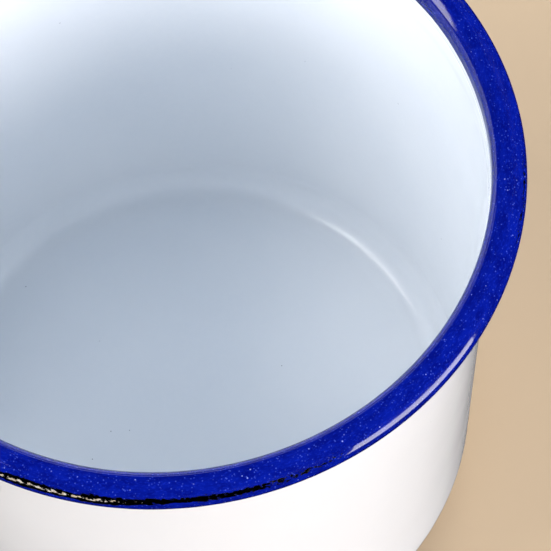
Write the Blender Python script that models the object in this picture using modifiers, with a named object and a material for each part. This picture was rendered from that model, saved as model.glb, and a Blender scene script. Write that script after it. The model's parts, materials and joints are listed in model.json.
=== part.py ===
"""A small enamelled steel milk pail: drawn shell, wired rolled rim, two welded ears, wire bail, wooden grip.

Metres, +Z up. The origin is the centre of the flat base, which stands on Z = 0. The bail swings about a line
parallel to X through both ears, and it hangs at rest on the +Y side.
"""

import math

import bmesh
import bpy
from mathutils import Vector

# Driving dimensions
RIM_RADIUS = 0.0800  # outside of the rolled rim
HEIGHT = 0.1340  # base to the top of the rolled rim
BASE_RADIUS = 0.0703  # outside of the wall, carried down to the base plane
WALL = 0.0014  # sheet steel with its enamel
ROLL_RADIUS = 0.0039  # outside of the roll's own section
CORNER_RADIUS = 0.0105  # outside corner between wall and base
GAP = 0.0003  # between pieces that touch

# The roll's section, centred on a circle round the mouth
ROLL_CENTRE_RADIUS = RIM_RADIUS - ROLL_RADIUS
ROLL_CENTRE_HEIGHT = HEIGHT - ROLL_RADIUS
ROLL_START = math.radians(180)  # where the wall runs into the roll
ROLL_END = math.radians(-120)  # where the curled edge stops short of the wall
ROLL_STEP = math.radians(20)
CORE_RADIUS = ROLL_RADIUS - WALL - GAP
CORE_JOINT = 0.0008  # butt gap between the ends of the core wire

# The wall leans out from the base to the start of the roll
MOUTH_OUTER_RADIUS = ROLL_CENTRE_RADIUS - ROLL_RADIUS + WALL
DRAFT = math.atan2(MOUTH_OUTER_RADIUS - BASE_RADIUS, ROLL_CENTRE_HEIGHT)
ROUND_STEPS = 60  # facets round the pail
CORNER_STEPS = 6  # facets over the corner between wall and base
MERGE = 0.00001  # closer than this, turned points are one

# Ears: strap bent outwards below the roll, with its hole above the rim
EAR_THICKNESS = 0.0020
EAR_FOOT_HEIGHT = 0.1000
EAR_BEND_START = 0.1130
EAR_BEND_END = 0.1235
EAR_FOOT_HALF_WIDTH = 0.0120
EAR_TAB_HALF_WIDTH = 0.0095
EAR_FOOT_ROUND = 0.0060
EAR_CLEARANCE = 0.0006  # between the roll and the ear's upright tab
EAR_TAB_RADIUS = RIM_RADIUS + EAR_CLEARANCE + EAR_THICKNESS / 2
PIVOT_HEIGHT = HEIGHT + 0.0090
EAR_HOLE_RADIUS = 0.0033
EAR_HOLE_FACETS = 20
EAR_EDGE_BEVEL = 0.0004
EAR_COLUMNS = 6  # facets across the strap
EAR_BEND_ROWS = 6
EAR_FOOT_TURNS = (0, 30, 60, 90)  # degrees round the foot's corners
EAR_TOP_TURNS = (0, 15, 30, 45, 60, 72, 81)  # degrees round the tab's top

# Bail
WIRE_RADIUS = 0.00225
HOOK_BEND = 0.0035  # bend radius of the hook, at the wire's centre
HOOK_STRAIGHT = 0.0013  # half of the straight stretch inside the ear's hole
HOOK_TIP = 0.0075  # the hook's free end above the pivot line
BAIL_REACH = 0.1080  # pivot line to the grip's axis
BAIL_LEG = 0.0400  # straight stretch of each leg
BAIL_TOP_HALF = 0.0480  # half of the straight stretch through the grip
BAIL_SHOULDER_STEPS = 11
HOOK_STEPS = 4
HOOK_INNER = EAR_TAB_RADIUS - HOOK_STRAIGHT - HOOK_BEND
HOOK_OUTER = EAR_TAB_RADIUS + HOOK_STRAIGHT + HOOK_BEND

# Grip
GRIP_LENGTH = 0.0880
GRIP_RADIUS = 0.0110
GRIP_END_RADIUS = 0.0072
GRIP_BORE = WIRE_RADIUS + 0.0005
GRIP_GROOVE = 0.0006
GRIP_GROOVE_HALF_WIDTH = 0.0010
GRIP_GROOVE_PLACE = 0.0330
GRIP_NOSE = 0.0030  # length of the rounded-over end
GRIP_NOSE_DROP = 0.0012  # how much thinner the grip gets over it
GRIP_STATIONS = 10
GRIP_FACETS = 24
REST_GAP = 0.0004  # between the hanging grip and the wall
STEEPEST_HANG = math.radians(80)
HALVINGS = 60

WHITE_ENAMEL = ((0.90, 0.92, 0.94), 0.12, 0.0)
BLUE_ENAMEL = ((0.004, 0.010, 0.330), 0.10, 0.0)
STEEL = ((0.42, 0.42, 0.41), 0.38, 1.0)
BEECH = ((0.56, 0.33, 0.15), 0.45, 0.0)


def clear_scene():
    for obj in list(bpy.data.objects):
        bpy.data.objects.remove(obj)


def new_collection(name):
    collection = bpy.data.collections.new(name)
    bpy.context.scene.collection.children.link(collection)
    return collection


def new_material(name, look):
    colour, roughness, metallic = look
    material = bpy.data.materials.new(name)
    material.use_nodes = True
    shader = material.node_tree.nodes["Principled BSDF"]
    shader.inputs["Base Color"].default_value = (*colour, 1.0)
    shader.inputs["Roughness"].default_value = roughness
    shader.inputs["Metallic"].default_value = metallic
    return material


def wall_outer(height):
    """Outer radius of the leaning wall at this height."""
    return BASE_RADIUS + height * math.tan(DRAFT)


def arc(centre, radius, start, end, steps):
    """Points of an arc in a plane, both ends included; the angles run from the first axis to the second."""
    angles = [start + (end - start) * i / steps for i in range(steps + 1)]
    return [(centre[0] + radius * math.cos(a), centre[1] + radius * math.sin(a)) for a in angles]


def bare_mesh_object(name, mesh, material, collection):
    mesh.materials.append(material)
    obj = bpy.data.objects.new(name, mesh)
    collection.objects.link(obj)
    return obj


def turned(name, points, axis, facets, material, collection):
    """A profile swept once round the Z or X axis. One that stays off the axis is closed into a loop first."""
    mesh = bpy.data.meshes.new(name)
    shape = bmesh.new()
    verts = [shape.verts.new(p) for p in points]
    for first, second in zip(verts, verts[1:]):
        shape.edges.new((first, second))
    start_radius = points[0].x if axis == "Z" else points[0].y
    if start_radius > MERGE:
        shape.edges.new((verts[-1], verts[0]))
    shape.to_mesh(mesh)
    shape.free()
    obj = bare_mesh_object(name, mesh, material, collection)
    screw = obj.modifiers.new("turn", "SCREW")
    screw.axis = axis
    screw.angle = math.tau
    screw.steps = facets
    screw.render_steps = facets
    screw.use_merge_vertices = True
    screw.merge_threshold = MERGE
    screw.use_smooth_shade = True
    return obj


def shell_profile():
    """From the middle of the floor up the inside, over the wall's edge and down the outside to the axis."""
    corner = (wall_outer(CORNER_RADIUS) - CORNER_RADIUS / math.cos(DRAFT), CORNER_RADIUS)
    down = math.radians(-90)
    top = ROLL_CENTRE_HEIGHT - GAP
    inner = arc(corner, CORNER_RADIUS - WALL, down, -DRAFT, CORNER_STEPS)
    outer = arc(corner, CORNER_RADIUS, -DRAFT, down, CORNER_STEPS)
    edge = [(wall_outer(top) - WALL / math.cos(DRAFT), top), (wall_outer(top), top)]
    outline = [(0.0, WALL)] + inner + edge + outer + [(0.0, 0.0)]
    return [Vector((radius, 0.0, height)) for radius, height in outline]


def roll_profile():
    """The curled edge's section: over the top, down the outside and under, then back along its inner face."""
    centre = (ROLL_CENTRE_RADIUS, ROLL_CENTRE_HEIGHT)
    steps = round((ROLL_START - ROLL_END) / ROLL_STEP)
    outside = arc(centre, ROLL_RADIUS, ROLL_START, ROLL_END, steps)
    inside = arc(centre, ROLL_RADIUS - WALL, ROLL_END, ROLL_START, steps)
    return [Vector((radius, 0.0, height)) for radius, height in outside + inside]


def wire(name, points, radius, material, collection):
    """A round wire along these points, with flat ends."""
    curve = bpy.data.curves.new(name, "CURVE")
    curve.dimensions = "3D"
    curve.bevel_depth = radius
    curve.bevel_resolution = 2
    curve.use_fill_caps = True
    spline = curve.splines.new("POLY")
    spline.points.add(len(points) - 1)
    for target, point in zip(spline.points, points):
        target.co = (*point, 1.0)
    curve.materials.append(material)
    obj = bpy.data.objects.new(name, curve)
    collection.objects.link(obj)
    return obj


def core_points():
    """The core wire's centre line: once round the mouth, its ends a butt gap apart."""
    joint = CORE_JOINT / 2 / ROLL_CENTRE_RADIUS
    facet = math.tau / ROUND_STEPS
    angles = [joint] + [facet * i for i in range(1, ROUND_STEPS)] + [math.tau - joint]
    radius, height = ROLL_CENTRE_RADIUS, ROLL_CENTRE_HEIGHT
    return [(radius * math.cos(a), radius * math.sin(a), height) for a in angles]


def smooth(share):
    """0 to 1 with level ends."""
    share = min(max(share, 0.0), 1.0)
    return share * share * (3 - 2 * share)


def ear_strap_radius(height):
    """Distance of the strap's mid plane from the pail's axis."""
    foot = wall_outer(height) + GAP + EAR_THICKNESS / 2
    bend = smooth((height - EAR_BEND_START) / (EAR_BEND_END - EAR_BEND_START))
    return foot + (EAR_TAB_RADIUS - foot) * bend


def ear_half_width(height):
    """A rounded foot that narrows to a tab with a round top about the hole."""
    rise = height - PIVOT_HEIGHT
    if rise > 0.0:
        return math.sqrt(EAR_TAB_HALF_WIDTH**2 - rise**2)
    neck = smooth((height - EAR_FOOT_HEIGHT) / (EAR_BEND_END - EAR_FOOT_HEIGHT))
    width = EAR_FOOT_HALF_WIDTH + (EAR_TAB_HALF_WIDTH - EAR_FOOT_HALF_WIDTH) * neck
    up = min((height - EAR_FOOT_HEIGHT) / EAR_FOOT_ROUND, 1.0)
    corner = EAR_FOOT_ROUND * (1.0 - math.sqrt(1.0 - (1.0 - up) ** 2))
    return width - corner


def ear_heights():
    """Rows of the strap: close together at the round ends and the bends."""
    bend = EAR_BEND_END - EAR_BEND_START
    foot = [EAR_FOOT_HEIGHT + EAR_FOOT_ROUND * (1 - math.cos(math.radians(turn))) for turn in EAR_FOOT_TURNS]
    middle = [EAR_BEND_START + bend * i / EAR_BEND_ROWS for i in range(EAR_BEND_ROWS + 1)]
    top = [PIVOT_HEIGHT + EAR_TAB_HALF_WIDTH * math.sin(math.radians(turn)) for turn in EAR_TOP_TURNS]
    return foot + middle + top


def ear(name, side, hole_cutter, material, collection):
    """One stamped ear, curved round the pail. side is 1 at +X and -1 at -X."""
    heights = ear_heights()
    mesh = bpy.data.meshes.new(name)
    shape = bmesh.new()
    bmesh.ops.create_grid(shape, x_segments=EAR_COLUMNS, y_segments=len(heights) - 1, size=0.5)
    for vert in shape.verts:
        across = vert.co.x * 2
        height = heights[round((vert.co.y + 0.5) * (len(heights) - 1))]
        radius = ear_strap_radius(height)
        angle = across * ear_half_width(height) / radius
        vert.co = (side * radius * math.cos(angle), side * radius * math.sin(angle), height)
    bmesh.ops.recalc_face_normals(shape, faces=shape.faces)
    shape.to_mesh(mesh)
    shape.free()
    obj = bare_mesh_object(name, mesh, material, collection)
    plate = obj.modifiers.new("sheet", "SOLIDIFY")
    plate.thickness = EAR_THICKNESS
    plate.offset = 0.0
    plate.use_even_offset = True
    hole = obj.modifiers.new("bail_hole", "BOOLEAN")
    hole.operation = "DIFFERENCE"
    hole.object = hole_cutter
    edge = obj.modifiers.new("edge", "BEVEL")
    edge.width = EAR_EDGE_BEVEL
    edge.segments = 1
    edge.limit_method = "ANGLE"
    edge.angle_limit = math.radians(50)
    return obj


def ear_hole_cutter(side, collection):
    """A pin through one ear, along X."""
    bpy.ops.mesh.primitive_cylinder_add(
        vertices=EAR_HOLE_FACETS,
        radius=EAR_HOLE_RADIUS,
        depth=6 * EAR_THICKNESS,
        location=(side * EAR_TAB_RADIUS, 0.0, PIVOT_HEIGHT),
        rotation=(0.0, math.radians(90), 0.0),
    )
    cutter = bpy.context.active_object
    cutter.name = "hole_cutter_right" if side > 0 else "hole_cutter_left"
    cutter.hide_render = True
    cutter.display_type = "WIRE"
    for home in list(cutter.users_collection):
        home.objects.unlink(cutter)
    collection.objects.link(cutter)
    return cutter


def bail_half_outline():
    """From the hook's free end through the ear and over to the grip, as (x, distance from pivot)."""
    quarter = math.radians(90)
    inner_bend = arc((HOOK_INNER + HOOK_BEND, HOOK_BEND), HOOK_BEND, -2 * quarter, -quarter, HOOK_STEPS)
    outer_bend = arc((HOOK_OUTER - HOOK_BEND, HOOK_BEND), HOOK_BEND, -quarter, 0.0, HOOK_STEPS)
    shoulder = []
    for i in range(BAIL_SHOULDER_STEPS + 1):
        turn = quarter * i / BAIL_SHOULDER_STEPS
        across = BAIL_TOP_HALF + (HOOK_OUTER - BAIL_TOP_HALF) * math.cos(turn)
        shoulder.append((across, BAIL_LEG + (BAIL_REACH - BAIL_LEG) * math.sin(turn)))
    return [(HOOK_INNER, HOOK_TIP)] + inner_bend + outer_bend + shoulder


def bail_points():
    """The whole bail, from the +X hook over to the -X hook."""
    half = bail_half_outline()
    whole = half + [(-x, reach) for x, reach in reversed(half)]
    return [(x, reach, 0.0) for x, reach in whole]


def hang_angle():
    """How far below level the bail hangs when its grip rests against the wall."""
    low, high = 0.0, STEEPEST_HANG
    for _ in range(HALVINGS):
        middle = (low + high) / 2
        height = PIVOT_HEIGHT - BAIL_REACH * math.sin(middle)
        room = BAIL_REACH * math.cos(middle) - wall_outer(height) - (GRIP_RADIUS + REST_GAP) / math.cos(DRAFT)
        if room > 0.0:
            low = middle
        else:
            high = middle
    return low


def barrel_radius(place):
    """A gentle barrel between the ends of the grip."""
    share = abs(place) / (GRIP_LENGTH / 2 - GRIP_NOSE)
    return GRIP_RADIUS - (GRIP_RADIUS - GRIP_END_RADIUS) * share**3


def grip_profile():
    """Turned outline along X: barrel, a groove near each end, round noses, and the bore back through it."""
    half = GRIP_LENGTH / 2
    barrel = half - GRIP_NOSE
    grooves = (-GRIP_GROOVE_PLACE, GRIP_GROOVE_PLACE)
    places = [barrel * (2 * i / GRIP_STATIONS - 1) for i in range(GRIP_STATIONS + 1)]
    clear_of_grooves = [p for p in places if all(abs(p - g) > 2 * GRIP_GROOVE_HALF_WIDTH for g in grooves)]
    outline = [(place, barrel_radius(place)) for place in clear_of_grooves]
    for groove in grooves:
        for offset in (-GRIP_GROOVE_HALF_WIDTH, 0.0, GRIP_GROOVE_HALF_WIDTH):
            depth = GRIP_GROOVE if offset == 0.0 else 0.0
            outline.append((groove + offset, barrel_radius(groove + offset) - depth))
    end = GRIP_END_RADIUS - GRIP_NOSE_DROP
    outline = [(-half, GRIP_BORE), (-half, end)] + sorted(outline) + [(half, end), (half, GRIP_BORE)]
    return [Vector((place, radius, 0.0)) for place, radius in reversed(outline)]


def build_pail(collection, cutters):
    white = new_material("white_enamel", WHITE_ENAMEL)
    blue = new_material("blue_enamel", BLUE_ENAMEL)
    steel = new_material("bright_steel", STEEL)
    beech = new_material("turned_beech", BEECH)

    turned("pail_shell", shell_profile(), "Z", ROUND_STEPS, white, collection)
    turned("rolled_rim", roll_profile(), "Z", ROUND_STEPS, blue, collection)
    wire("rim_core_wire", core_points(), CORE_RADIUS, steel, collection)
    for name, side in (("right_ear", 1), ("left_ear", -1)):
        ear(name, side, ear_hole_cutter(side, cutters), white, collection)

    bail = wire("bail_wire", bail_points(), WIRE_RADIUS, steel, collection)
    bail.location = (0.0, 0.0, PIVOT_HEIGHT)
    bail.rotation_euler = (-hang_angle(), 0.0, 0.0)

    grip = turned("bail_grip", grip_profile(), "X", GRIP_FACETS, beech, collection)
    grip.parent = bail
    grip.location = (0.0, BAIL_REACH, 0.0)


def main():
    clear_scene()
    pail = new_collection("milk_pail")
    cutters = new_collection("cutters")
    build_pail(pail, cutters)
    bpy.context.view_layer.update()


main()
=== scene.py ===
"""Looks of the enamelled milk pail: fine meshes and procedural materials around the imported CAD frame.

Metres, +Z up. The pail stands on Z = 0 with its ears on the X axis and its bail hanging on the +Y side.
"""

import json
import math

import bmesh
import bpy
import numpy as np
from mathutils import Matrix, Vector, noise


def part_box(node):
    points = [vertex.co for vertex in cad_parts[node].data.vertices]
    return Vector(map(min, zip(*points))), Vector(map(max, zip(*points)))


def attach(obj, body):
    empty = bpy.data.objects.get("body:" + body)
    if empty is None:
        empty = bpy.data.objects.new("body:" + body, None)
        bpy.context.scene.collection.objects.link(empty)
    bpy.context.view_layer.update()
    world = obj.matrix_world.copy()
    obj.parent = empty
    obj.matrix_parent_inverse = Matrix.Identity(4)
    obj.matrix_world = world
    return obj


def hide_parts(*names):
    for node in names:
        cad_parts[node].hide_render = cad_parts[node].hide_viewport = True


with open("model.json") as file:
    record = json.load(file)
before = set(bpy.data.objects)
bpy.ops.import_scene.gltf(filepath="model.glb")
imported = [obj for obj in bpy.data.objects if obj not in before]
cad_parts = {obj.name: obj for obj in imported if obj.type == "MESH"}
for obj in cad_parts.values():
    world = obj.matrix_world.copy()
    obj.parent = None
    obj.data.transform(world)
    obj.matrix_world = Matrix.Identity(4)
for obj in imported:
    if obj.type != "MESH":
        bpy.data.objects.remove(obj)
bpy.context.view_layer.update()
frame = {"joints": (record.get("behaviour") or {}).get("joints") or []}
JOINTS = {joint["name"]: joint for joint in frame["joints"]}

MM = 0.001

# Pail, as the CAD has it
RIM_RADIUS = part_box("rolled_rim")[1].x
ROLL_RADIUS = 3.9 * MM
ROLL_CENTRE = RIM_RADIUS - ROLL_RADIUS
WALL = 1.4 * MM
GAP = 0.3 * MM
ROLL_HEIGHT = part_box("pail_shell")[1].z + GAP
BASE_RADIUS = 70.3 * MM
CORNER_RADIUS = 10.5 * MM
MOUTH_RADIUS = ROLL_CENTRE - ROLL_RADIUS
DRAFT = math.atan2(MOUTH_RADIUS + WALL - BASE_RADIUS, ROLL_HEIGHT)
CORE_RADIUS = ROLL_RADIUS - WALL - GAP

# Roll: angles are measured over its section, from straight outwards
ROLL_END = math.radians(-120)
BLUE_DROP = 2.1 * MM  # how far the blue runs down the inside wall below the roll's centre
RIM_DROP = 4.0 * MM  # how far the rim's piece does, its last part white
WEAR_AND_SHADE_LINE = math.radians(30)  # where the rim rubs on shelves and other pans; the band there is also painted near-black, a painted dark reflection
CHIP_DEPTH = 0.10 * MM

# Base
BASE_RECESS = 0.5 * MM
RECESS_RADIUS = 54 * MM
RECESS_SLOPE = 2.2 * MM
FLOOR_CROWN = 0.25 * MM
FIRING_MARK_RADIUS = 2.0 * MM
FIRING_MARK_CIRCLE = 38 * MM

# Wall
NECK_DEPTH = 0.10 * MM
TRUE_HEIGHT = 112 * MM  # above it the wall is round; below it the sheet waves a little
WAVE = 0.16 * MM

# Ears
EAR_THICKNESS = 2.0 * MM
EAR_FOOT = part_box("right_ear")[0].z
EAR_BEND_START = 113.0 * MM
EAR_BEND_END = 123.5 * MM
EAR_FOOT_HALF_WIDTH = 12.0 * MM
EAR_TAB_HALF_WIDTH = 9.5 * MM
EAR_FOOT_ROUND = 6.0 * MM
EAR_TAB_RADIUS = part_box("right_ear")[1].x - EAR_THICKNESS / 2
EAR_HOLE_RADIUS = 3.3 * MM
WELD_RADIUS = 2.2 * MM
WELD_DEPTH = 0.24 * MM
WELD_ACROSS = 5.4 * MM
WELD_RISE = 4.6 * MM
WELD_PITCH = 7.4 * MM

# Bail and grip
PIVOT = Vector(JOINTS["bail_swing"]["pos_m"])
GRIP_CENTRE = Vector(JOINTS["grip_spin"]["pos_m"])
BAIL_REACH = (GRIP_CENTRE - PIVOT).length
HANG = math.atan2(PIVOT.z - GRIP_CENTRE.z, GRIP_CENTRE.y)
WIRE_RADIUS = 2.25 * MM
HOOK_BEND = 3.5 * MM
HOOK_STRAIGHT = 1.3 * MM
HOOK_TIP = 7.5 * MM
BAIL_LEG = 40 * MM
BAIL_TOP_HALF = 48 * MM
GRIP_LENGTH = 88 * MM
GRIP_RADIUS = 11 * MM
GRIP_END_RADIUS = 7.2 * MM
GRIP_BORE = 2.75 * MM
GRIP_GROOVES = (28 * MM, 33 * MM)
GROOVE_HALF_WIDTH = 0.9 * MM
GROOVE_DEPTH = 0.55 * MM
GRIP_NOSE = 3 * MM


# ---------------------------------------------------------------- mesh helpers


def smooth(share):
    share = min(max(share, 0.0), 1.0)
    return share * share * (3 - 2 * share)


def arc(centre, radius, start, end, steps):
    angles = [start + (end - start) * i / steps for i in range(steps + 1)]
    return [(centre[0] + radius * math.cos(a), centre[1] + radius * math.sin(a)) for a in angles]


def between(start, end, steps):
    """Points along a straight line, without its first point."""
    return [tuple(a + (b - a) * i / steps for a, b in zip(start, end)) for i in range(1, steps + 1)]


def new_object(name, mesh, material):
    mesh.materials.append(material)
    obj = bpy.data.objects.new(name, mesh)
    bpy.context.scene.collection.objects.link(obj)
    mesh.shade_smooth()
    return obj


def grid_mesh(name, rings, closed_round=True, closed_section=False):
    """Quads between neighbouring points; rings is an array of ring, point in the ring, and x, y, z."""
    count, per_ring = rings.shape[0], rings.shape[1]
    last_ring = count if closed_round else count - 1
    last_point = per_ring if closed_section else per_ring - 1
    faces = []
    for i in range(last_ring):
        after = (i + 1) % count
        for j in range(last_point):
            beside = (j + 1) % per_ring
            near, far = i * per_ring, after * per_ring
            faces.append((near + j, near + beside, far + beside, far + j))
    mesh = bpy.data.meshes.new(name)
    mesh.from_pydata(rings.reshape(-1, 3).tolist(), [], faces)
    return mesh


def face_outwards(mesh, weld=0.0):
    """Turns every face outwards, after joining points closer than weld, such as those on an axis."""
    shape = bmesh.new()
    shape.from_mesh(mesh)
    if weld:
        bmesh.ops.remove_doubles(shape, verts=shape.verts, dist=weld)
        bmesh.ops.dissolve_degenerate(shape, edges=shape.edges, dist=weld)
    bmesh.ops.recalc_face_normals(shape, faces=shape.faces)
    shape.to_mesh(mesh)
    shape.free()


def set_attribute(mesh, name, values):
    attribute = mesh.attributes.new(name, "FLOAT", "POINT")
    attribute.data.foreach_set("value", np.asarray(values, np.float32))


def apply_modifiers(obj):
    graph = bpy.context.evaluated_depsgraph_get()
    mesh = bpy.data.meshes.new_from_object(obj.evaluated_get(graph))
    obj.modifiers.clear()
    obj.data = mesh


# ---------------------------------------------------------------- shader helpers


class Shader:
    """A material's node tree, with short calls for the nodes that repeat."""

    def __init__(self, name):
        self.material = bpy.data.materials.new(name)
        self.material.use_nodes = True
        self.tree = self.material.node_tree
        self.surface = self.tree.nodes["Principled BSDF"]
        self.place = self.tree.nodes.new("ShaderNodeTexCoord").outputs["Object"]

    def link(self, source, target):
        if isinstance(source, (int, float)):
            target.default_value = source
        elif isinstance(source, tuple):
            target.default_value = (*source, 1.0)
        else:
            self.tree.links.new(source, target)

    def set(self, **values):
        for name, value in values.items():
            self.link(value, self.surface.inputs[name.replace("_", " ")])

    def attribute(self, name):
        node = self.tree.nodes.new("ShaderNodeAttribute")
        node.attribute_name = name
        return node.outputs["Fac"]

    def stretched(self, scale):
        node = self.tree.nodes.new("ShaderNodeMapping")
        node.inputs["Scale"].default_value = scale
        self.link(self.place, node.inputs["Vector"])
        return node.outputs["Vector"]

    def noise(self, size, detail=2.0, roughness=0.5, place=None):
        """Noise whose lumps are about this many metres apart, from 0 to 1."""
        node = self.tree.nodes.new("ShaderNodeTexNoise")
        node.inputs["Scale"].default_value = 1.0 / size
        node.inputs["Detail"].default_value = detail
        node.inputs["Roughness"].default_value = roughness
        self.link(place or self.place, node.inputs["Vector"])
        return node.outputs["Fac"]

    def cells(self, size, place=None):
        """Scattered cells of about this many metres: their Distance from the middle and a Color for each."""
        node = self.tree.nodes.new("ShaderNodeTexVoronoi")
        node.inputs["Scale"].default_value = 1.0 / size
        self.link(place or self.place, node.inputs["Vector"])
        return node

    def joined(self, *values):
        """A place made of up to three values."""
        node = self.tree.nodes.new("ShaderNodeCombineXYZ")
        for value, socket in zip(values, node.inputs):
            self.link(value, socket)
        return node.outputs["Vector"]

    def tone(self, colour):
        """The red of a cell's colour, which is one random value from 0 to 1 for each cell."""
        node = self.tree.nodes.new("ShaderNodeSeparateColor")
        self.link(colour, node.inputs["Color"])
        return node.outputs["Red"]

    def math(self, operation, first, second=0.0, third=0.0):
        node = self.tree.nodes.new("ShaderNodeMath")
        node.operation = operation
        for socket, value in zip(node.inputs, (first, second, third)):
            self.link(value, socket)
        return node.outputs["Value"]

    def ramp(self, value, low, high, start=0.0, end=1.0):
        """value from low to high becomes start to end, smoothly, and stays there beyond."""
        node = self.tree.nodes.new("ShaderNodeMapRange")
        node.interpolation_type = "SMOOTHSTEP"
        self.link(value, node.inputs["Value"])
        settings = (("From Min", low), ("From Max", high), ("To Min", start), ("To Max", end))
        for name, setting in settings:
            self.link(setting, node.inputs[name])
        return node.outputs["Result"]

    def mix(self, share, first, second):
        node = self.tree.nodes.new("ShaderNodeMix")
        node.data_type = "RGBA"
        self.link(share, node.inputs["Factor"])
        self.link(first, node.inputs[6])
        self.link(second, node.inputs[7])
        return node.outputs[2]

    def blend(self, share, first, second):
        node = self.tree.nodes.new("ShaderNodeMix")
        self.link(share, node.inputs["Factor"])
        self.link(first, node.inputs[2])
        self.link(second, node.inputs[3])
        return node.outputs[0]

    def times(self, first, second):
        return self.math("MULTIPLY", first, second)

    def axes(self):
        node = self.tree.nodes.new("ShaderNodeSeparateXYZ")
        self.link(self.place, node.inputs["Vector"])
        return node.outputs["X"], node.outputs["Y"], node.outputs["Z"]

    def bump(self, height, depth, under=None):
        """height from 0 to 1 raises the surface by depth metres."""
        node = self.tree.nodes.new("ShaderNodeBump")
        node.inputs["Distance"].default_value = depth
        self.link(height, node.inputs["Height"])
        if under is not None:
            self.link(under, node.inputs["Normal"])
        return node.outputs["Normal"]


# ---------------------------------------------------------------- materials


WHITE_DULL = (0.840, 0.872, 0.905)
WHITE_CLEAR = (0.862, 0.890, 0.918)
WHITE_GRAIN = (0.870, 0.895, 0.920)
WHITE_SHADED_OUTSIDE = (0.690, 0.680, 0.680)  # painted shade: the outside white is painted darker and a little warmer than the inside, for the light that falls on it
SPECK_GREY = (0.20, 0.21, 0.23)
CHIP_HALO = (0.24, 0.22, 0.24)
BARE_IRON = (0.018, 0.016, 0.016)
RUST = (0.12, 0.05, 0.022)

BLUE_DEEP = (0.0008, 0.0032, 0.135)
BLUE_LIVELY = (0.0014, 0.0075, 0.220)
BLUE_MOTTLE = (0.006, 0.020, 0.36)
BLUE_GRAIN = (0.050, 0.090, 0.55)
BLUE_SPECK = (0.24, 0.30, 0.80)
# Painted shade: a navy band along the blue's lower edge inside the mouth
NAVY_PAINTED_SHADE = (0.001, 0.002, 0.060)
# Painted shade: the near-black blue round the rubbed line
PAINTED_SHADE_BLUE = (0.0008, 0.0015, 0.030)
# The rubbed line's iron, also painted near-black as a dark reflection
RUBBED_IRON_AND_SHADE = (0.0022, 0.0026, 0.0032)
BROWN_IRON_AND_SHADE = (0.010, 0.010, 0.008)
# Painted highlights: the glints of bare steel in the rubbed line, made bright in their colour
STEEL_GLINT = (0.80, 0.76, 0.70)
TAN_STEEL_GLINT = (0.62, 0.50, 0.36)

TIN_BRIGHT = (0.52, 0.52, 0.51)
TIN_DULL = (0.36, 0.355, 0.345)
TIN_SPOT = (0.15, 0.125, 0.10)

BEECH_DARK = (0.50, 0.265, 0.105)
BEECH_LIGHT = (0.62, 0.375, 0.175)
BEECH_STREAK = (0.37, 0.175, 0.062)
BEECH_FIBRE = (0.30, 0.135, 0.05)
BEECH_FLECK = (0.235, 0.095, 0.034)
BEECH_GROOVE_DARK = (0.045, 0.020, 0.010)
BEECH_HANDLED = (0.21, 0.092, 0.036)


def enamel_relief(shader):
    """Orange peel of a fired glass coat, with the slower waves of the sheet under it."""
    waves = shader.bump(shader.noise(26 * MM, 1.0), 0.10 * MM)
    peel = shader.bump(shader.noise(3.2 * MM, 2.0), 0.008 * MM, waves)
    return shader.bump(shader.noise(0.7 * MM, 1.0), 0.0006 * MM, peel)


def clouded_white(shader):
    cloud = shader.ramp(shader.noise(34 * MM, 3.0), 0.3, 0.7)
    return shader.mix(cloud, WHITE_DULL, WHITE_CLEAR)


def white_enamel():
    """White enamel with faint clouding, pin-head specks, and chips to dark iron where the attribute says."""
    shader = Shader("white_enamel")
    inside = shader.attribute("inside")
    white = clouded_white(shader)
    fine = shader.ramp(shader.noise(1.6 * MM, 2.0), 0.35, 0.75)
    white = shader.mix(shader.times(fine, 0.35), white, WHITE_GRAIN)
    speck = shader.cells(6 * MM)
    near = shader.ramp(speck.outputs["Distance"], 0.015, 0.030, 1.0, 0.0)
    rare = shader.ramp(shader.noise(9 * MM, 0.0), 0.60, 0.63)
    white = shader.mix(shader.times(near, rare), white, SPECK_GREY)
    edge = shader.math("ADD", shader.attribute("chip"), shader.noise(0.8 * MM, 3.0))
    chip = shader.ramp(edge, 1.02, 1.07)
    halo = shader.times(shader.ramp(edge, 0.93, 1.03), 0.75)
    white = shader.mix(halo, white, CHIP_HALO)
    # Painted shade: the outside of the shell is a darker, warmer copy of the same white
    outside = shader.math("SUBTRACT", 1.0, inside)
    white = shader.mix(shader.times(outside, 0.55), white, WHITE_SHADED_OUTSIDE)
    rusty = shader.ramp(shader.noise(1.1 * MM, 3.0), 0.45, 0.65)
    rust = shader.mix(rusty, BARE_IRON, RUST)
    shader.set(Base_Color=shader.mix(chip, white, rust))

    gloss = shader.ramp(shader.noise(18 * MM, 3.0), 0.3, 0.8, 0.075, 0.14)
    scoured = shader.ramp(shader.axes()[2], 10 * MM, 90 * MM, 0.11, 0.0)
    gloss = shader.math("ADD", gloss, shader.times(inside, scoured))
    shader.set(Roughness=shader.blend(chip, gloss, 0.62))
    shader.set(Normal=shader.bump(chip, -0.12 * MM, enamel_relief(shader)))
    shader.surface.inputs["IOR"].default_value = 1.52
    return shader.material


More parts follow.
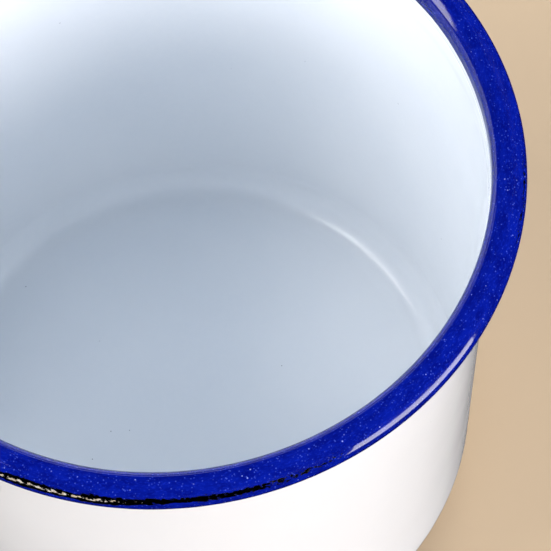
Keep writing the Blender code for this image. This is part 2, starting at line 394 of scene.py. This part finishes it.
def cobalt(shader, place):
    """Deep blue with mottling, fine grain and sparse pale specks."""
    depth = shader.ramp(shader.noise(5 * MM, 4.0, 0.6, place), 0.3, 0.7)
    blue = shader.mix(depth, BLUE_DEEP, BLUE_LIVELY)
    mottle = shader.ramp(shader.noise(0.75 * MM, 3.0, 0.6, place), 0.50, 0.72)
    blue = shader.mix(shader.times(mottle, 0.55), blue, BLUE_MOTTLE)
    grain = shader.cells(0.60 * MM)
    fine = shader.ramp(grain.outputs["Distance"], 0.14, 0.36, 1.0, 0.0)
    pick = shader.ramp(shader.tone(grain.outputs["Color"]), 0.40, 0.95)
    blue = shader.mix(shader.times(fine, shader.times(pick, 0.6)), blue, BLUE_GRAIN)
    speck = shader.cells(1.9 * MM)
    spot = shader.ramp(speck.outputs["Distance"], 0.05, 0.11, 1.0, 0.0)
    pick = shader.ramp(shader.tone(speck.outputs["Color"]), 0.30, 0.90)
    return shader.mix(shader.times(spot, shader.times(pick, 0.75)), blue, BLUE_SPECK)


def blue_enamel():
    """Cobalt enamel, white below it inside, and a rubbed line down to iron and steel. The near-black line is
    also a painted dark reflection, its steel specks are painted highlights, and the darker blue round it and
    the navy band above the white inside are painted shade.
    """
    shader = Shader("blue_enamel")
    x, y, _ = shader.axes()
    streaks = shader.joined(x, y, shader.times(shader.attribute("arc"), 2.2))
    blue = cobalt(shader, streaks)
    wander = shader.math("MULTIPLY_ADD", shader.noise(5 * MM, 3.0), 0.5 * MM, -0.25 * MM)
    drop = shader.math("ADD", shader.attribute("drop"), wander)
    # Painted shade: a navy band along the blue's lower edge inside, darker than the blue itself
    navy_painted_shade = shader.ramp(drop, BLUE_DROP - 0.9 * MM, BLUE_DROP - 0.2 * MM)
    blue = shader.mix(shader.times(navy_painted_shade, 0.7), blue, NAVY_PAINTED_SHADE)
    lip = shader.ramp(drop, BLUE_DROP - 0.06 * MM, BLUE_DROP + 0.06 * MM)
    coat = shader.mix(lip, blue, clouded_white(shader))

    # The rubbed line: worn through to iron, and also painted near-black there, a painted dark reflection on
    # the roll's outer face
    fray = shader.noise(0.9 * MM, 4.0, 0.62)
    edge = shader.math("MULTIPLY_ADD", fray, 0.9, shader.attribute("wear_and_shade"))
    worn_and_shaded = shader.ramp(edge, 0.93, 1.00)
    # Painted shade: the blue round the rubbed line is darkened, a painted dark reflection
    painted_shade = shader.times(shader.ramp(edge, 0.78, 0.95), 0.8)
    coat = shader.mix(painted_shade, coat, PAINTED_SHADE_BLUE)
    brown = shader.ramp(shader.noise(2.2 * MM, 2.0), 0.4, 0.7)
    iron = shader.mix(brown, RUBBED_IRON_AND_SHADE, BROWN_IRON_AND_SHADE)
    # Painted highlights: bare steel specks in the rubbed line, coloured bright so they read as glints
    limit = shader.ramp(shader.attribute("bare_and_glint"), 0.2, 1.0, 0.84, 0.49)
    over = shader.math("SUBTRACT", shader.noise(1.15 * MM, 4.0, 0.66, streaks), limit)
    glint = shader.ramp(over, 0.0, 0.05)
    tan = shader.ramp(shader.noise(1.4 * MM, 1.0), 0.4, 0.6)
    bright = shader.mix(tan, STEEL_GLINT, TAN_STEEL_GLINT)
    under = shader.mix(glint, iron, bright)
    shader.set(Base_Color=shader.mix(worn_and_shaded, coat, under))

    dull = shader.math("MULTIPLY_ADD", glint, -0.6, 1.0)
    shader.set(Metallic=shader.times(worn_and_shaded, dull))
    gloss = shader.ramp(shader.noise(12 * MM, 3.0), 0.3, 0.8, 0.06, 0.13)
    shader.set(Roughness=shader.blend(worn_and_shaded, gloss, 0.45))
    relief = shader.bump(shader.noise(1.9 * MM, 2.0), 0.014 * MM)
    relief = shader.bump(shader.noise(0.5 * MM, 1.0), 0.0016 * MM, relief)
    relief = shader.bump(glint, 0.03 * MM, relief)
    shader.set(Normal=shader.bump(worn_and_shaded, -0.05 * MM, relief))
    shader.surface.inputs["IOR"].default_value = 1.50
    return shader.material


def drawn_steel():
    """Tinned wire: draw lines along it, dull blotches, and brighter rubbed places."""
    shader = Shader("bright_steel")
    along = shader.attribute("along")
    around = shader.attribute("around")
    drawn = shader.joined(shader.times(along, 0.04), around)
    lines = shader.noise(0.35 * MM, 3.0, 0.6, drawn)
    blotch = shader.ramp(shader.noise(5 * MM, 4.0, 0.6), 0.35, 0.70)
    steel = shader.mix(blotch, TIN_BRIGHT, TIN_DULL)
    spots = shader.ramp(shader.noise(1.3 * MM, 4.0, 0.65), 0.62, 0.72)
    steel = shader.mix(shader.times(spots, 0.75), steel, TIN_SPOT)
    shader.set(Base_Color=steel, Metallic=1.0)
    base = shader.ramp(blotch, 0.0, 1.0, 0.24, 0.42)
    shader.set(Roughness=shader.math("MULTIPLY_ADD", lines, 0.14, base))
    relief = shader.bump(lines, 0.006 * MM)
    shader.set(Normal=shader.bump(shader.noise(0.9 * MM, 3.0), 0.01 * MM, relief))
    return shader.material


def turned_beech():
    """Oiled beech, grain along X: growth streaks, flecks, darker grooves and bore, and a darker, smoother
    middle.
    """
    shader = Shader("turned_beech")
    x, y, _ = shader.axes()
    fibres = shader.stretched((0.10, 1.0, 1.0))
    wander = shader.noise(9 * MM, 2.0, 0.5, fibres)
    rings_place = shader.math("MULTIPLY_ADD", wander, 7 * MM, y)
    growth = shader.math("SINE", shader.times(rings_place, math.tau / (2.6 * MM)))
    streak = shader.ramp(growth, -0.6, 0.9)
    tone = shader.ramp(shader.noise(16 * MM, 2.0, 0.5, fibres), 0.3, 0.7)
    wood = shader.mix(tone, BEECH_DARK, BEECH_LIGHT)
    wood = shader.mix(shader.times(streak, 0.34), wood, BEECH_STREAK)
    thin = shader.noise(0.35 * MM, 3.0, 0.6, shader.stretched((0.035, 1.0, 1.0)))
    wood = shader.mix(shader.ramp(thin, 0.42, 0.74, 0.0, 0.5), wood, BEECH_FIBRE)
    fleck = shader.cells(1.0 * MM, place=shader.stretched((0.30, 1.7, 1.7)))
    flecks = shader.ramp(fleck.outputs["Distance"], 0.10, 0.24, 0.55, 0.0)
    wood = shader.mix(flecks, wood, BEECH_FLECK)
    # darker in the grooves, more where they are deeper, and through the bore
    wood = shader.mix(shader.attribute("groove_and_bore_dark"), wood, BEECH_GROOVE_DARK)
    middle = shader.ramp(shader.math("ABSOLUTE", x), 6 * MM, 36 * MM, 0.34, 0.0)
    uneven = shader.ramp(shader.noise(12 * MM, 3.0), 0.2, 0.7, 0.35, 1.0)
    hand = shader.times(middle, uneven)
    shader.set(Base_Color=shader.mix(hand, wood, BEECH_HANDLED))
    polish = shader.ramp(middle, 0.0, 0.34, 0.50, 0.34)
    shader.set(Roughness=shader.math("MULTIPLY_ADD", thin, 0.16, polish))
    relief = shader.bump(thin, 0.022 * MM)
    relief = shader.bump(flecks, -0.02 * MM, relief)
    shader.set(Normal=shader.bump(shader.noise(6 * MM, 2.0), 0.09 * MM, relief))
    return shader.material


# ---------------------------------------------------------------- pail


def wall_outer(height):
    return BASE_RADIUS + height * math.tan(DRAFT)


def neck(height):
    """How far a shallow groove, rolled in below the rim, stands in from the leaning wall."""
    below = ROLL_HEIGHT - height
    into = smooth((below - 0.5 * MM) / (5.5 * MM))
    back = smooth((below - 7.6 * MM) / (3.6 * MM))
    return NECK_DEPTH * into * (1 - back)


def wall_inner(height):
    return wall_outer(height) - WALL / math.cos(DRAFT) - neck(height)


def shell_outline():
    """Up the inside from the middle of the floor, over the hidden edge, down the outside, under the base."""
    corner = (CORNER_CENTRE, CORNER_RADIUS)
    down = math.radians(-90)
    floor = [(corner[0] * i / 22, WALL + FLOOR_CROWN * smooth(1 - i / 18)) for i in range(22)]
    inner_corner = arc(corner, CORNER_RADIUS - WALL, down, -DRAFT, 20)
    top = ROLL_HEIGHT
    seam = ROLL_HEIGHT - RIM_DROP
    lower = list(np.linspace(inner_corner[-1][1], TRUE_HEIGHT, 28)[1:])
    upper = list(np.linspace(TRUE_HEIGHT, seam, 30)[1:])
    inner_wall = [(wall_inner(height), height) for height in lower + upper]
    tongue = [(wall_inner(seam) + 0.5 * MM, seam), (MOUTH_RADIUS + 0.5 * MM, top)]
    outer_wall = tongue + [(wall_outer(h), h) for h in np.linspace(top, corner[1], 46)][:-1]
    outer_corner = arc(corner, CORNER_RADIUS, -DRAFT, down, 20)
    foot = between(outer_corner[-1], (RECESS_RADIUS + RECESS_SLOPE, 0.0), 4)
    rise = [(RECESS_RADIUS + RECESS_SLOPE * (1 - i / 8), BASE_RECESS * smooth(i / 8)) for i in range(1, 9)]
    base = between(rise[-1], (0.0, BASE_RECESS * 0.7), 14)
    return floor + inner_corner + inner_wall + outer_wall + outer_corner + foot + rise + base


SHELL_STEPS = 300
CORNER_CENTRE = wall_outer(CORNER_RADIUS) - CORNER_RADIUS / math.cos(DRAFT)


def is_inside(x, y, z):
    """Whether a point of the shell is on its inside face: the wall's, the corner's or the floor's."""
    radius = math.hypot(x, y)
    if z > CORNER_RADIUS:
        return radius < wall_outer(z) - WALL / 2
    if radius > CORNER_CENTRE:
        return math.hypot(radius - CORNER_CENTRE, z - CORNER_RADIUS) < CORNER_RADIUS - WALL / 2
    return z > (WALL + BASE_RECESS) / 2


def base_chips(x, y, z):
    """0 to 1: lost enamel on the corner that stands on tables, and three firing marks under the base."""
    radius = math.hypot(x, y)
    if is_inside(x, y, z):
        return 0.0
    if z < 6 * MM and radius > 55 * MM:
        place = Vector((x, y, 0.0)) * 90
        edge = 1 - abs(z - 0.9 * MM) / (1.6 * MM)
        return max(0.0, edge) * smooth((noise.noise(place) - 0.16) / 0.25)
    if z < 0.8 * MM and radius < RECESS_RADIUS:
        for third in range(3):
            angle = math.tau * (third / 3 + 0.08)
            mark_x, mark_y = FIRING_MARK_CIRCLE * math.cos(angle), FIRING_MARK_CIRCLE * math.sin(angle)
            away = math.hypot(x - mark_x, y - mark_y)
            if away < FIRING_MARK_RADIUS:
                return smooth(1 - away / FIRING_MARK_RADIUS) * 0.9
    return 0.0


def make_shell(material):
    outline = np.array(shell_outline())
    angles = np.linspace(0, math.tau, SHELL_STEPS, endpoint=False)
    rings = np.zeros((SHELL_STEPS, len(outline), 3))
    for i, angle in enumerate(angles):
        for j, (radius, height) in enumerate(outline):
            free = smooth(height / (30 * MM)) * smooth((TRUE_HEIGHT - height) / (20 * MM))
            wave = noise.noise(Vector((math.cos(angle) * 1.4, math.sin(angle) * 1.4, height * 14)))
            out = radius + WAVE * wave * free
            rings[i, j] = (out * math.cos(angle), out * math.sin(angle), height)
    mesh = grid_mesh("shell_enamel", rings)
    face_outwards(mesh, weld=0.001 * MM)
    chips = [base_chips(*vert.co) for vert in mesh.vertices]
    inside = [float(is_inside(*vert.co)) for vert in mesh.vertices]
    obj = new_object("shell_enamel", mesh, material)
    set_attribute(mesh, "chip", chips)
    set_attribute(mesh, "inside", inside)
    return obj


def swell(degrees, start, full, fading, end):
    """0 before start, 1 from full to fading, 0 after end."""
    return smooth((degrees - start) / (full - start)) * smooth((end - degrees) / (end - fading))


def wear_and_shade_strength(angle):
    """How hard the rim is rubbed at this place round the mouth, and so how strongly its painted dark band and
    glints show, 0 to 1.
    """
    degrees = math.degrees(angle) % 360
    strong = swell(degrees, 176, 188, 210, 236)
    tail = 0.52 * swell(degrees, 200, 220, 220, 256)
    patchy = noise.noise(Vector((math.cos(angle) * 2.3, math.sin(angle) * 2.3, 4.7)))
    rest = 0.44 * smooth((patchy + 0.02) / 0.35)
    if 262 <= degrees <= 350:
        rest *= 0.25
    return max(strong, tail, rest)


def roll_turns():
    """Angles over the roll's section, close together at the rubbed line with its painted dark band, wider
    elsewhere.
    """
    marks = [(180, 140, 12), (140, 60, 16), (60, 8, 36), (8, -120, 22)]
    turns = [math.radians(180)]
    for start, end, steps in marks:
        turns += [math.radians(start + (end - start) * i / steps) for i in range(1, steps + 1)]
    return turns


ROLL_STEPS = 900


def make_roll(material):
    """The curled edge: a long outer face, a rounded sheet edge, and the face that grips the core wire."""
    outer = roll_turns()
    half = WALL / 2
    middle = ROLL_RADIUS - half
    end_centre = (middle * math.cos(ROLL_END), middle * math.sin(ROLL_END))
    end_cap = arc(end_centre, half, ROLL_END, ROLL_END - math.radians(180), 8)[1:-1]
    inner = [ROLL_END + (math.radians(180) - ROLL_END) * i / 20 for i in range(21)]
    wall_heights = [ROLL_HEIGHT - RIM_DROP * (1 - i / 10) for i in range(10)]
    section = [(wall_inner(h) - ROLL_CENTRE, h - ROLL_HEIGHT, None) for h in wall_heights]
    section += [(ROLL_RADIUS * math.cos(t), ROLL_RADIUS * math.sin(t), t) for t in outer]
    section += [(x, z, None) for x, z in end_cap]
    core_side = ROLL_RADIUS - WALL
    section += [(core_side * math.cos(t), core_side * math.sin(t), None) for t in inner]
    section += [(MOUTH_RADIUS + WALL / 2 - ROLL_CENTRE, -RIM_DROP, None)]
    drops = [-z for x, z, t in section[:10]] + [0.0] * (len(section) - 10)
    count = len(section)
    rings = np.zeros((ROLL_STEPS, count, 3))
    wear_and_shade, bare_and_glint, arcs = (np.zeros((ROLL_STEPS, count)) for _ in range(3))
    for i in range(ROLL_STEPS):
        angle = math.tau * i / ROLL_STEPS
        direction = Vector((math.cos(angle), math.sin(angle), 0.0))
        strength = wear_and_shade_strength(angle)
        shift = math.radians(4.0) * noise.noise(direction * 5.0 + Vector((9, 0, 0)))
        heavy = smooth((strength - 0.55) / 0.40)
        spread = math.radians(11.0 + 2.5 * heavy) * (1 + 0.45 * noise.noise(direction * 16.0))
        line = WEAR_AND_SHADE_LINE + shift - math.radians(4.5) * heavy
        for j, (x, z, t) in enumerate(section):
            scale = 1.0
            if t is not None:
                off = abs(t - line) / spread
                # The rubbed line's mask, which also lays out its painted dark reflection and where its
                # painted glints go
                if off < 2.0 and strength > 0.02:
                    rough = noise.fractal(direction * 130 + Vector((0, 0, t * 7)), 0.7, 2.0, 3)
                    wear_and_shade[i, j] = max(0.0, strength**0.5 * (1.20 - 0.60 * off**2) + 0.55 * rough)
                    # where bare steel shows, with its painted glints
                    bare_and_glint[i, j] = (0.5 + 0.5 * heavy) * smooth(1.15 - 1.15 * off)
                arcs[i, j] = ROLL_RADIUS * t
                sunk = CHIP_DEPTH * smooth((wear_and_shade[i, j] - 0.45) / 0.3)
                scale = 1 - sunk / ROLL_RADIUS
            radius = ROLL_CENTRE + x * scale
            rings[i, j] = (radius * direction.x, radius * direction.y, ROLL_HEIGHT + z * scale)
    mesh = grid_mesh("rim_enamel", rings, closed_section=True)
    obj = new_object("rim_enamel", mesh, material)
    set_attribute(mesh, "wear_and_shade", np.clip(wear_and_shade, 0, 1).ravel())
    set_attribute(mesh, "bare_and_glint", bare_and_glint.ravel())
    set_attribute(mesh, "arc", arcs.ravel())
    set_attribute(mesh, "drop", drops * ROLL_STEPS)
    face_outwards(mesh)
    return obj


# ---------------------------------------------------------------- wires


def sweep_wire(name, points, radius, material, sides=20):
    """A round wire along a planar or gently curved path, its ends rounded over. Carries along and around."""
    path = [Vector(p) for p in points]
    rings, along, around = [], [], []
    travelled = 0.0
    normal = None
    for i, point in enumerate(path):
        ahead = path[min(i + 1, len(path) - 1)] - path[max(i - 1, 0)]
        tangent = ahead.normalized()
        if normal is None:
            normal = tangent.orthogonal().normalized()
        normal = (normal - tangent * normal.dot(tangent)).normalized()
        side = tangent.cross(normal)
        if i:
            travelled += (point - path[i - 1]).length
        end = i in (0, len(path) - 1)
        layers = [(0.0, 1.0)]
        if end:
            way = -1 if i == 0 else 1
            turns = [math.radians(degrees) for degrees in (0, 25, 50, 70, 90)]
            layers = [(-way * 0.5 * radius * (1 - math.sin(a)), 0.55 + 0.45 * math.cos(a)) for a in turns]
            if i == 0:
                layers.reverse()
        for shift, scale in layers:
            centre = point + tangent * shift
            for k in range(sides):
                turn = math.tau * k / sides
                rings.append(centre + (normal * math.cos(turn) + side * math.sin(turn)) * radius * scale)
                along.append(travelled)
                around.append(radius * turn)
    count = len(rings) // sides
    faces = [
        (a * sides + k, a * sides + (k + 1) % sides, (a + 1) * sides + (k + 1) % sides, (a + 1) * sides + k)
        for a in range(count - 1)
        for k in range(sides)
    ]
    faces.append(tuple(range(sides - 1, -1, -1)))
    faces.append(tuple((count - 1) * sides + k for k in range(sides)))
    mesh = bpy.data.meshes.new(name)
    mesh.from_pydata([tuple(p) for p in rings], [], faces)
    face_outwards(mesh)
    obj = new_object(name, mesh, material)
    mesh.set_sharp_from_angle(angle=math.radians(50))
    set_attribute(mesh, "along", along)
    set_attribute(mesh, "around", around)
    return obj


def make_core(material):
    joint = 0.4 * MM / ROLL_CENTRE
    angles = np.linspace(joint, math.tau - joint, 361)
    points = [(ROLL_CENTRE * math.cos(a), ROLL_CENTRE * math.sin(a), ROLL_HEIGHT) for a in angles]
    return sweep_wire("rim_core", points, CORE_RADIUS, material, sides=16)


def bail_half():
    """From the hook's free end through the ear and along the leg to the grip: x, distance from the pivot."""
    quarter = math.radians(90)
    inner = EAR_TAB_RADIUS - HOOK_STRAIGHT - HOOK_BEND
    outer = EAR_TAB_RADIUS + HOOK_STRAIGHT + HOOK_BEND
    inner_bend = arc((inner + HOOK_BEND, HOOK_BEND), HOOK_BEND, -2 * quarter, -quarter, 12)
    outer_bend = arc((outer - HOOK_BEND, HOOK_BEND), HOOK_BEND, -quarter, 0.0, 12)
    leg = between(outer_bend[-1], (outer, BAIL_LEG), 14)[:-1]
    shoulder = []
    for i in range(49):
        turn = quarter * i / 48
        across = BAIL_TOP_HALF + (outer - BAIL_TOP_HALF) * math.cos(turn)
        shoulder.append((across, BAIL_LEG + (BAIL_REACH - BAIL_LEG) * math.sin(turn)))
    tip = between((inner, HOOK_TIP), inner_bend[0], 3)[:-1]
    straight = between(shoulder[-1], (0.0, BAIL_REACH), 12)[:-1]
    return [(inner, HOOK_TIP)] + tip + inner_bend + outer_bend + leg + shoulder + straight


def make_bail(material):
    half = bail_half()
    whole = half + [(0.0, BAIL_REACH)] + [(-x, reach) for x, reach in reversed(half)]
    bail = sweep_wire("bail_steel", [(x, reach, 0.0) for x, reach in whole], WIRE_RADIUS, material)
    bail.matrix_world = Matrix.Translation(PIVOT) @ Matrix.Rotation(-HANG, 4, "X")
    return bail


# ---------------------------------------------------------------- grip


def barrel_radius(place):
    share = min(abs(place) / (GRIP_LENGTH / 2 - GRIP_NOSE), 1.0)
    return GRIP_RADIUS - (GRIP_RADIUS - GRIP_END_RADIUS) * share**3


def groove_depth(place):
    depth = 0.0
    for groove in GRIP_GROOVES:
        away = abs(abs(place) - groove) / GROOVE_HALF_WIDTH
        depth = max(depth, GROOVE_DEPTH * (1 - away**2) if away < 1 else 0.0)
    return depth


def grip_outline():
    """Along X: the barrel with its grooves, a rounded nose at each end, and the bore back through."""
    half = GRIP_LENGTH / 2
    barrel = half - GRIP_NOSE
    places = list(np.linspace(-barrel, barrel, 61))
    for groove in GRIP_GROOVES:
        for offset in np.linspace(-1.0 * MM, 1.0 * MM, 11):
            places += [groove + offset, -groove - offset]
    places = sorted(places)
    spaced = [places[0]]
    for place in places[1:]:
        if place - spaced[-1] > 0.08 * MM:
            spaced.append(place)
    body = [(place, barrel_radius(place) - groove_depth(place)) for place in spaced]
    nose = []
    for degrees in range(10, 91, 10):
        turn = math.radians(degrees)
        drop = 2.2 * MM * (1 - math.cos(turn))
        nose.append((barrel + GRIP_NOSE * math.sin(turn), GRIP_END_RADIUS - drop))
    face = between(nose[-1], (half, GRIP_BORE + 0.6 * MM), 3)
    mouth = [(half - 0.25 * MM, GRIP_BORE + 0.15 * MM), (half - 0.8 * MM, GRIP_BORE)]
    right = nose + face + mouth
    left = [(-x, r) for x, r in reversed(right)]
    return left + body + right


def make_grip(material):
    outline = grip_outline()
    steps = 96
    rings = np.zeros((steps, len(outline), 3))
    for i in range(steps):
        angle = math.tau * i / steps
        for j, (place, radius) in enumerate(outline):
            uneven = 0.10 * MM * noise.noise(Vector((place * 60, math.cos(angle), math.sin(angle))))
            out = radius + (uneven if radius > GRIP_BORE + MM else 0.0)
            rings[i, j] = (place, out * math.cos(angle), out * math.sin(angle))
    mesh = grid_mesh("grip_beech", rings, closed_section=True)
    face_outwards(mesh)
    obj = new_object("grip_beech", mesh, material)
    # how much darker the wood is: more in deeper grooves, and through the bore
    groove_and_bore_dark = []
    for vert in mesh.vertices:
        radius = math.hypot(vert.co.y, vert.co.z)
        if radius < GRIP_BORE + 0.2 * MM:
            groove_and_bore_dark.append(0.7)
        else:
            groove_and_bore_dark.append(min(1.0, groove_depth(vert.co.x) / (0.40 * MM)) * 0.9)
    set_attribute(mesh, "groove_and_bore_dark", groove_and_bore_dark)
    obj.matrix_world = Matrix.Translation(GRIP_CENTRE) @ Matrix.Rotation(-HANG, 4, "X")
    return obj


# ---------------------------------------------------------------- ears


def ear_radius(height):
    foot = wall_outer(height) + GAP + EAR_THICKNESS / 2
    bend = smooth((height - EAR_BEND_START) / (EAR_BEND_END - EAR_BEND_START))
    return foot + (EAR_TAB_RADIUS - foot) * bend


def ear_half_width(height):
    rise = height - PIVOT.z
    if rise > 0.0:
        return math.sqrt(max(EAR_TAB_HALF_WIDTH**2 - rise**2, 0.0))
    narrowing = smooth((height - EAR_FOOT) / (EAR_BEND_END - EAR_FOOT))
    width = EAR_FOOT_HALF_WIDTH + (EAR_TAB_HALF_WIDTH - EAR_FOOT_HALF_WIDTH) * narrowing
    up = min((height - EAR_FOOT) / EAR_FOOT_ROUND, 1.0)
    return width - EAR_FOOT_ROUND * (1.0 - math.sqrt(max(1.0 - (1.0 - up) ** 2, 0.0)))


def ear_rows():
    foot = [EAR_FOOT + EAR_FOOT_ROUND * (1 - math.cos(math.radians(d))) for d in range(0, 91, 9)]
    middle = list(np.linspace(EAR_FOOT + EAR_FOOT_ROUND, PIVOT.z, 62)[1:])
    top = [PIVOT.z + EAR_TAB_HALF_WIDTH * math.sin(math.radians(d)) for d in list(range(6, 85, 6)) + [84, 87]]
    return foot + middle + sorted(set(top))


def weld_dimple(across, height):
    """Depth of the four spot-weld marks on the foot."""
    depth = 0.0
    for column in (-1, 1):
        for row in (0, 1):
            rise = height - EAR_FOOT - WELD_RISE - WELD_PITCH * row
            away = math.hypot(across - column * WELD_ACROSS, rise)
            depth = max(depth, WELD_DEPTH * smooth(1.5 - 1.5 * away / WELD_RADIUS))
    return depth


def make_ear(name, side, material):
    """side is 1 at +X and -1 at -X."""
    rows = ear_rows()
    columns = 36
    rings = np.zeros((len(rows), columns + 1, 3))
    for i, height in enumerate(rows):
        for j in range(columns + 1):
            share = 2 * j / columns - 1
            across = share * ear_half_width(height)
            radius = ear_radius(height) - weld_dimple(across, height)
            angle = across / ear_radius(height)
            rings[i, j] = (side * radius * math.cos(angle), side * radius * math.sin(angle), height)
    mesh = grid_mesh(name, rings, closed_round=False)
    obj = new_object(name, mesh, material)
    plate = obj.modifiers.new("sheet", "SOLIDIFY")
    plate.thickness = EAR_THICKNESS
    plate.offset = 0.0
    bpy.ops.mesh.primitive_cylinder_add(
        vertices=48,
        radius=EAR_HOLE_RADIUS,
        depth=8 * EAR_THICKNESS,
        location=(side * EAR_TAB_RADIUS, 0.0, PIVOT.z),
        rotation=(0.0, math.radians(90), 0.0),
    )
    cutter = bpy.context.active_object
    hole = obj.modifiers.new("hole", "BOOLEAN")
    hole.operation = "DIFFERENCE"
    hole.object = cutter
    edge = obj.modifiers.new("edge", "BEVEL")
    edge.width = 0.55 * MM
    edge.segments = 3
    edge.limit_method = "ANGLE"
    edge.angle_limit = math.radians(50)
    edge.use_clamp_overlap = True
    apply_modifiers(obj)
    bpy.data.objects.remove(cutter)
    obj.data.shade_smooth()
    obj.data.set_sharp_from_angle(angle=math.radians(40))
    chips = []
    for vert in obj.data.vertices:
        away = math.hypot(vert.co.y, vert.co.z - PIVOT.z)
        rub = smooth((EAR_HOLE_RADIUS + 0.9 * MM - away) / (0.9 * MM)) * 0.75
        face = abs(math.hypot(vert.co.x, vert.co.y) - ear_radius(vert.co.z)) < 0.30 * EAR_THICKNESS
        fray = noise.noise(vert.co * 160 + Vector((side * 3, 0, 0)))
        flaw = 0.42 * smooth((fray - 0.12) / 0.3) if face else 0.0
        chips.append(max(rub + 0.2 * fray * (rub > 0), flaw))
    set_attribute(obj.data, "chip", chips)
    return obj


# ---------------------------------------------------------------- stage


PALE_SAND = (0.44, 0.33, 0.215)
LIGHT_DISTANCE = 1.8
SKY = (0.42, 0.66, 1.0, 1.0)


def make_floor():
    bpy.ops.mesh.primitive_plane_add(size=6.0, location=(0.0, 0.0, 0.0))
    floor = bpy.context.active_object
    floor.name = "pale_floor"
    shader = Shader("pale_floor")
    shader.set(Base_Color=PALE_SAND, Roughness=0.75)
    floor.data.materials.append(shader.material)
    floor.visible_glossy = False


def make_softbox(name, azimuth, height, across, up, radiance, colour, mirrored=True):
    """A panel of light around the pail: its middle's direction and its width and height, all in degrees."""
    light = bpy.data.lights.new(name, "AREA")
    light.shape = "RECTANGLE"
    light.size = 2 * LIGHT_DISTANCE * math.tan(math.radians(across / 2))
    light.size_y = 2 * LIGHT_DISTANCE * math.tan(math.radians(up / 2))
    light.energy = radiance * math.pi * light.size * light.size_y
    light.color = colour
    obj = bpy.data.objects.new(name, light)
    bpy.context.scene.collection.objects.link(obj)
    turn, rise = math.radians(azimuth), math.radians(height)
    way = Vector((math.cos(turn) * math.cos(rise), math.sin(turn) * math.cos(rise), math.sin(rise)))
    obj.location = Vector((0.0, 0.0, ROLL_HEIGHT)) + way * LIGHT_DISTANCE
    obj.rotation_euler = way.to_track_quat("Z", "Y").to_euler()
    obj.visible_camera = False
    obj.visible_glossy = mirrored


def make_lights():
    """Two panels that the rim mirrors, a thin strip for its far edge, two plain fills, and a dim blue sky."""
    make_softbox("large_left", 145, 34, 30, 46, 7.4, (1.0, 0.970, 0.935))
    make_softbox("low_front", -78, -10, 37, 30, 8.6, (1.0, 0.985, 0.985))
    make_softbox("back_strip", 50, 11, 84, 5, 1.8, (0.85, 0.93, 1.0))
    make_softbox("front_fill", -102, 20, 96, 22, 6.5, (1.0, 0.955, 0.935), mirrored=False)
    make_softbox("back_fill", 10, 38, 44, 30, 7.8, (1.0, 0.965, 0.935), mirrored=False)
    world = bpy.data.worlds.new("studio")
    bpy.context.scene.world = world
    world.use_nodes = True
    world.cycles_visibility.glossy = False
    tree = world.node_tree
    place = tree.nodes.new("ShaderNodeTexCoord")
    axes = tree.nodes.new("ShaderNodeSeparateXYZ")
    rise = tree.nodes.new("ShaderNodeMapRange")
    tree.links.new(place.outputs["Generated"], axes.inputs["Vector"])
    tree.links.new(axes.outputs["Z"], rise.inputs["Value"])
    for name, setting in (("From Min", -0.2), ("From Max", 0.05), ("To Min", 0.08), ("To Max", 0.42)):
        rise.inputs[name].default_value = setting
    background = tree.nodes["Background"]
    background.inputs["Color"].default_value = SKY
    tree.links.new(rise.outputs["Result"], background.inputs["Strength"])


# Fitted to the circles of the rim and the floor
CAMERA_PLACE = Vector((-0.1971, -0.2296, 0.6649))
CAMERA_RIGHT = Vector((0.6584, -0.7519, -0.0339))
CAMERA_DOWN = Vector((-0.6802, -0.5751, -0.4546))
LENS = 181.9


def make_camera():
    data = bpy.data.cameras.new("camera")
    data.sensor_width = 36.0
    data.lens = LENS
    data.clip_start = 0.01
    camera = bpy.data.objects.new("camera", data)
    bpy.context.scene.collection.objects.link(camera)
    right = CAMERA_RIGHT.normalized()
    back = right.cross(-CAMERA_DOWN).normalized()
    up = back.cross(right)
    camera.matrix_world = Matrix.Translation(CAMERA_PLACE) @ Matrix((right, up, back)).transposed().to_4x4()
    bpy.context.scene.camera = camera


# ---------------------------------------------------------------- assembly


def place(piece, body, slot, *nodes):
    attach(piece, body)
    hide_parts(*nodes)


def main():
    make_camera()
    white = white_enamel()
    blue = blue_enamel()
    steel = drawn_steel()
    beech = turned_beech()
    place(make_shell(white), "pail", "white_enamel", "pail_shell")
    place(make_roll(blue), "pail", "blue_enamel", "rolled_rim")
    place(make_core(steel), "pail", "bright_steel", "rim_core_wire")
    place(make_ear("right_ear_enamel", 1, white), "pail", "white_enamel", "right_ear")
    place(make_ear("left_ear_enamel", -1, white), "pail", "white_enamel", "left_ear")
    place(make_bail(steel), "bail", "bright_steel", "bail_wire")
    place(make_grip(beech), "grip", "turned_beech", "bail_grip")
    make_floor()
    make_lights()
    bpy.context.scene.view_settings.view_transform = "Standard"


main()
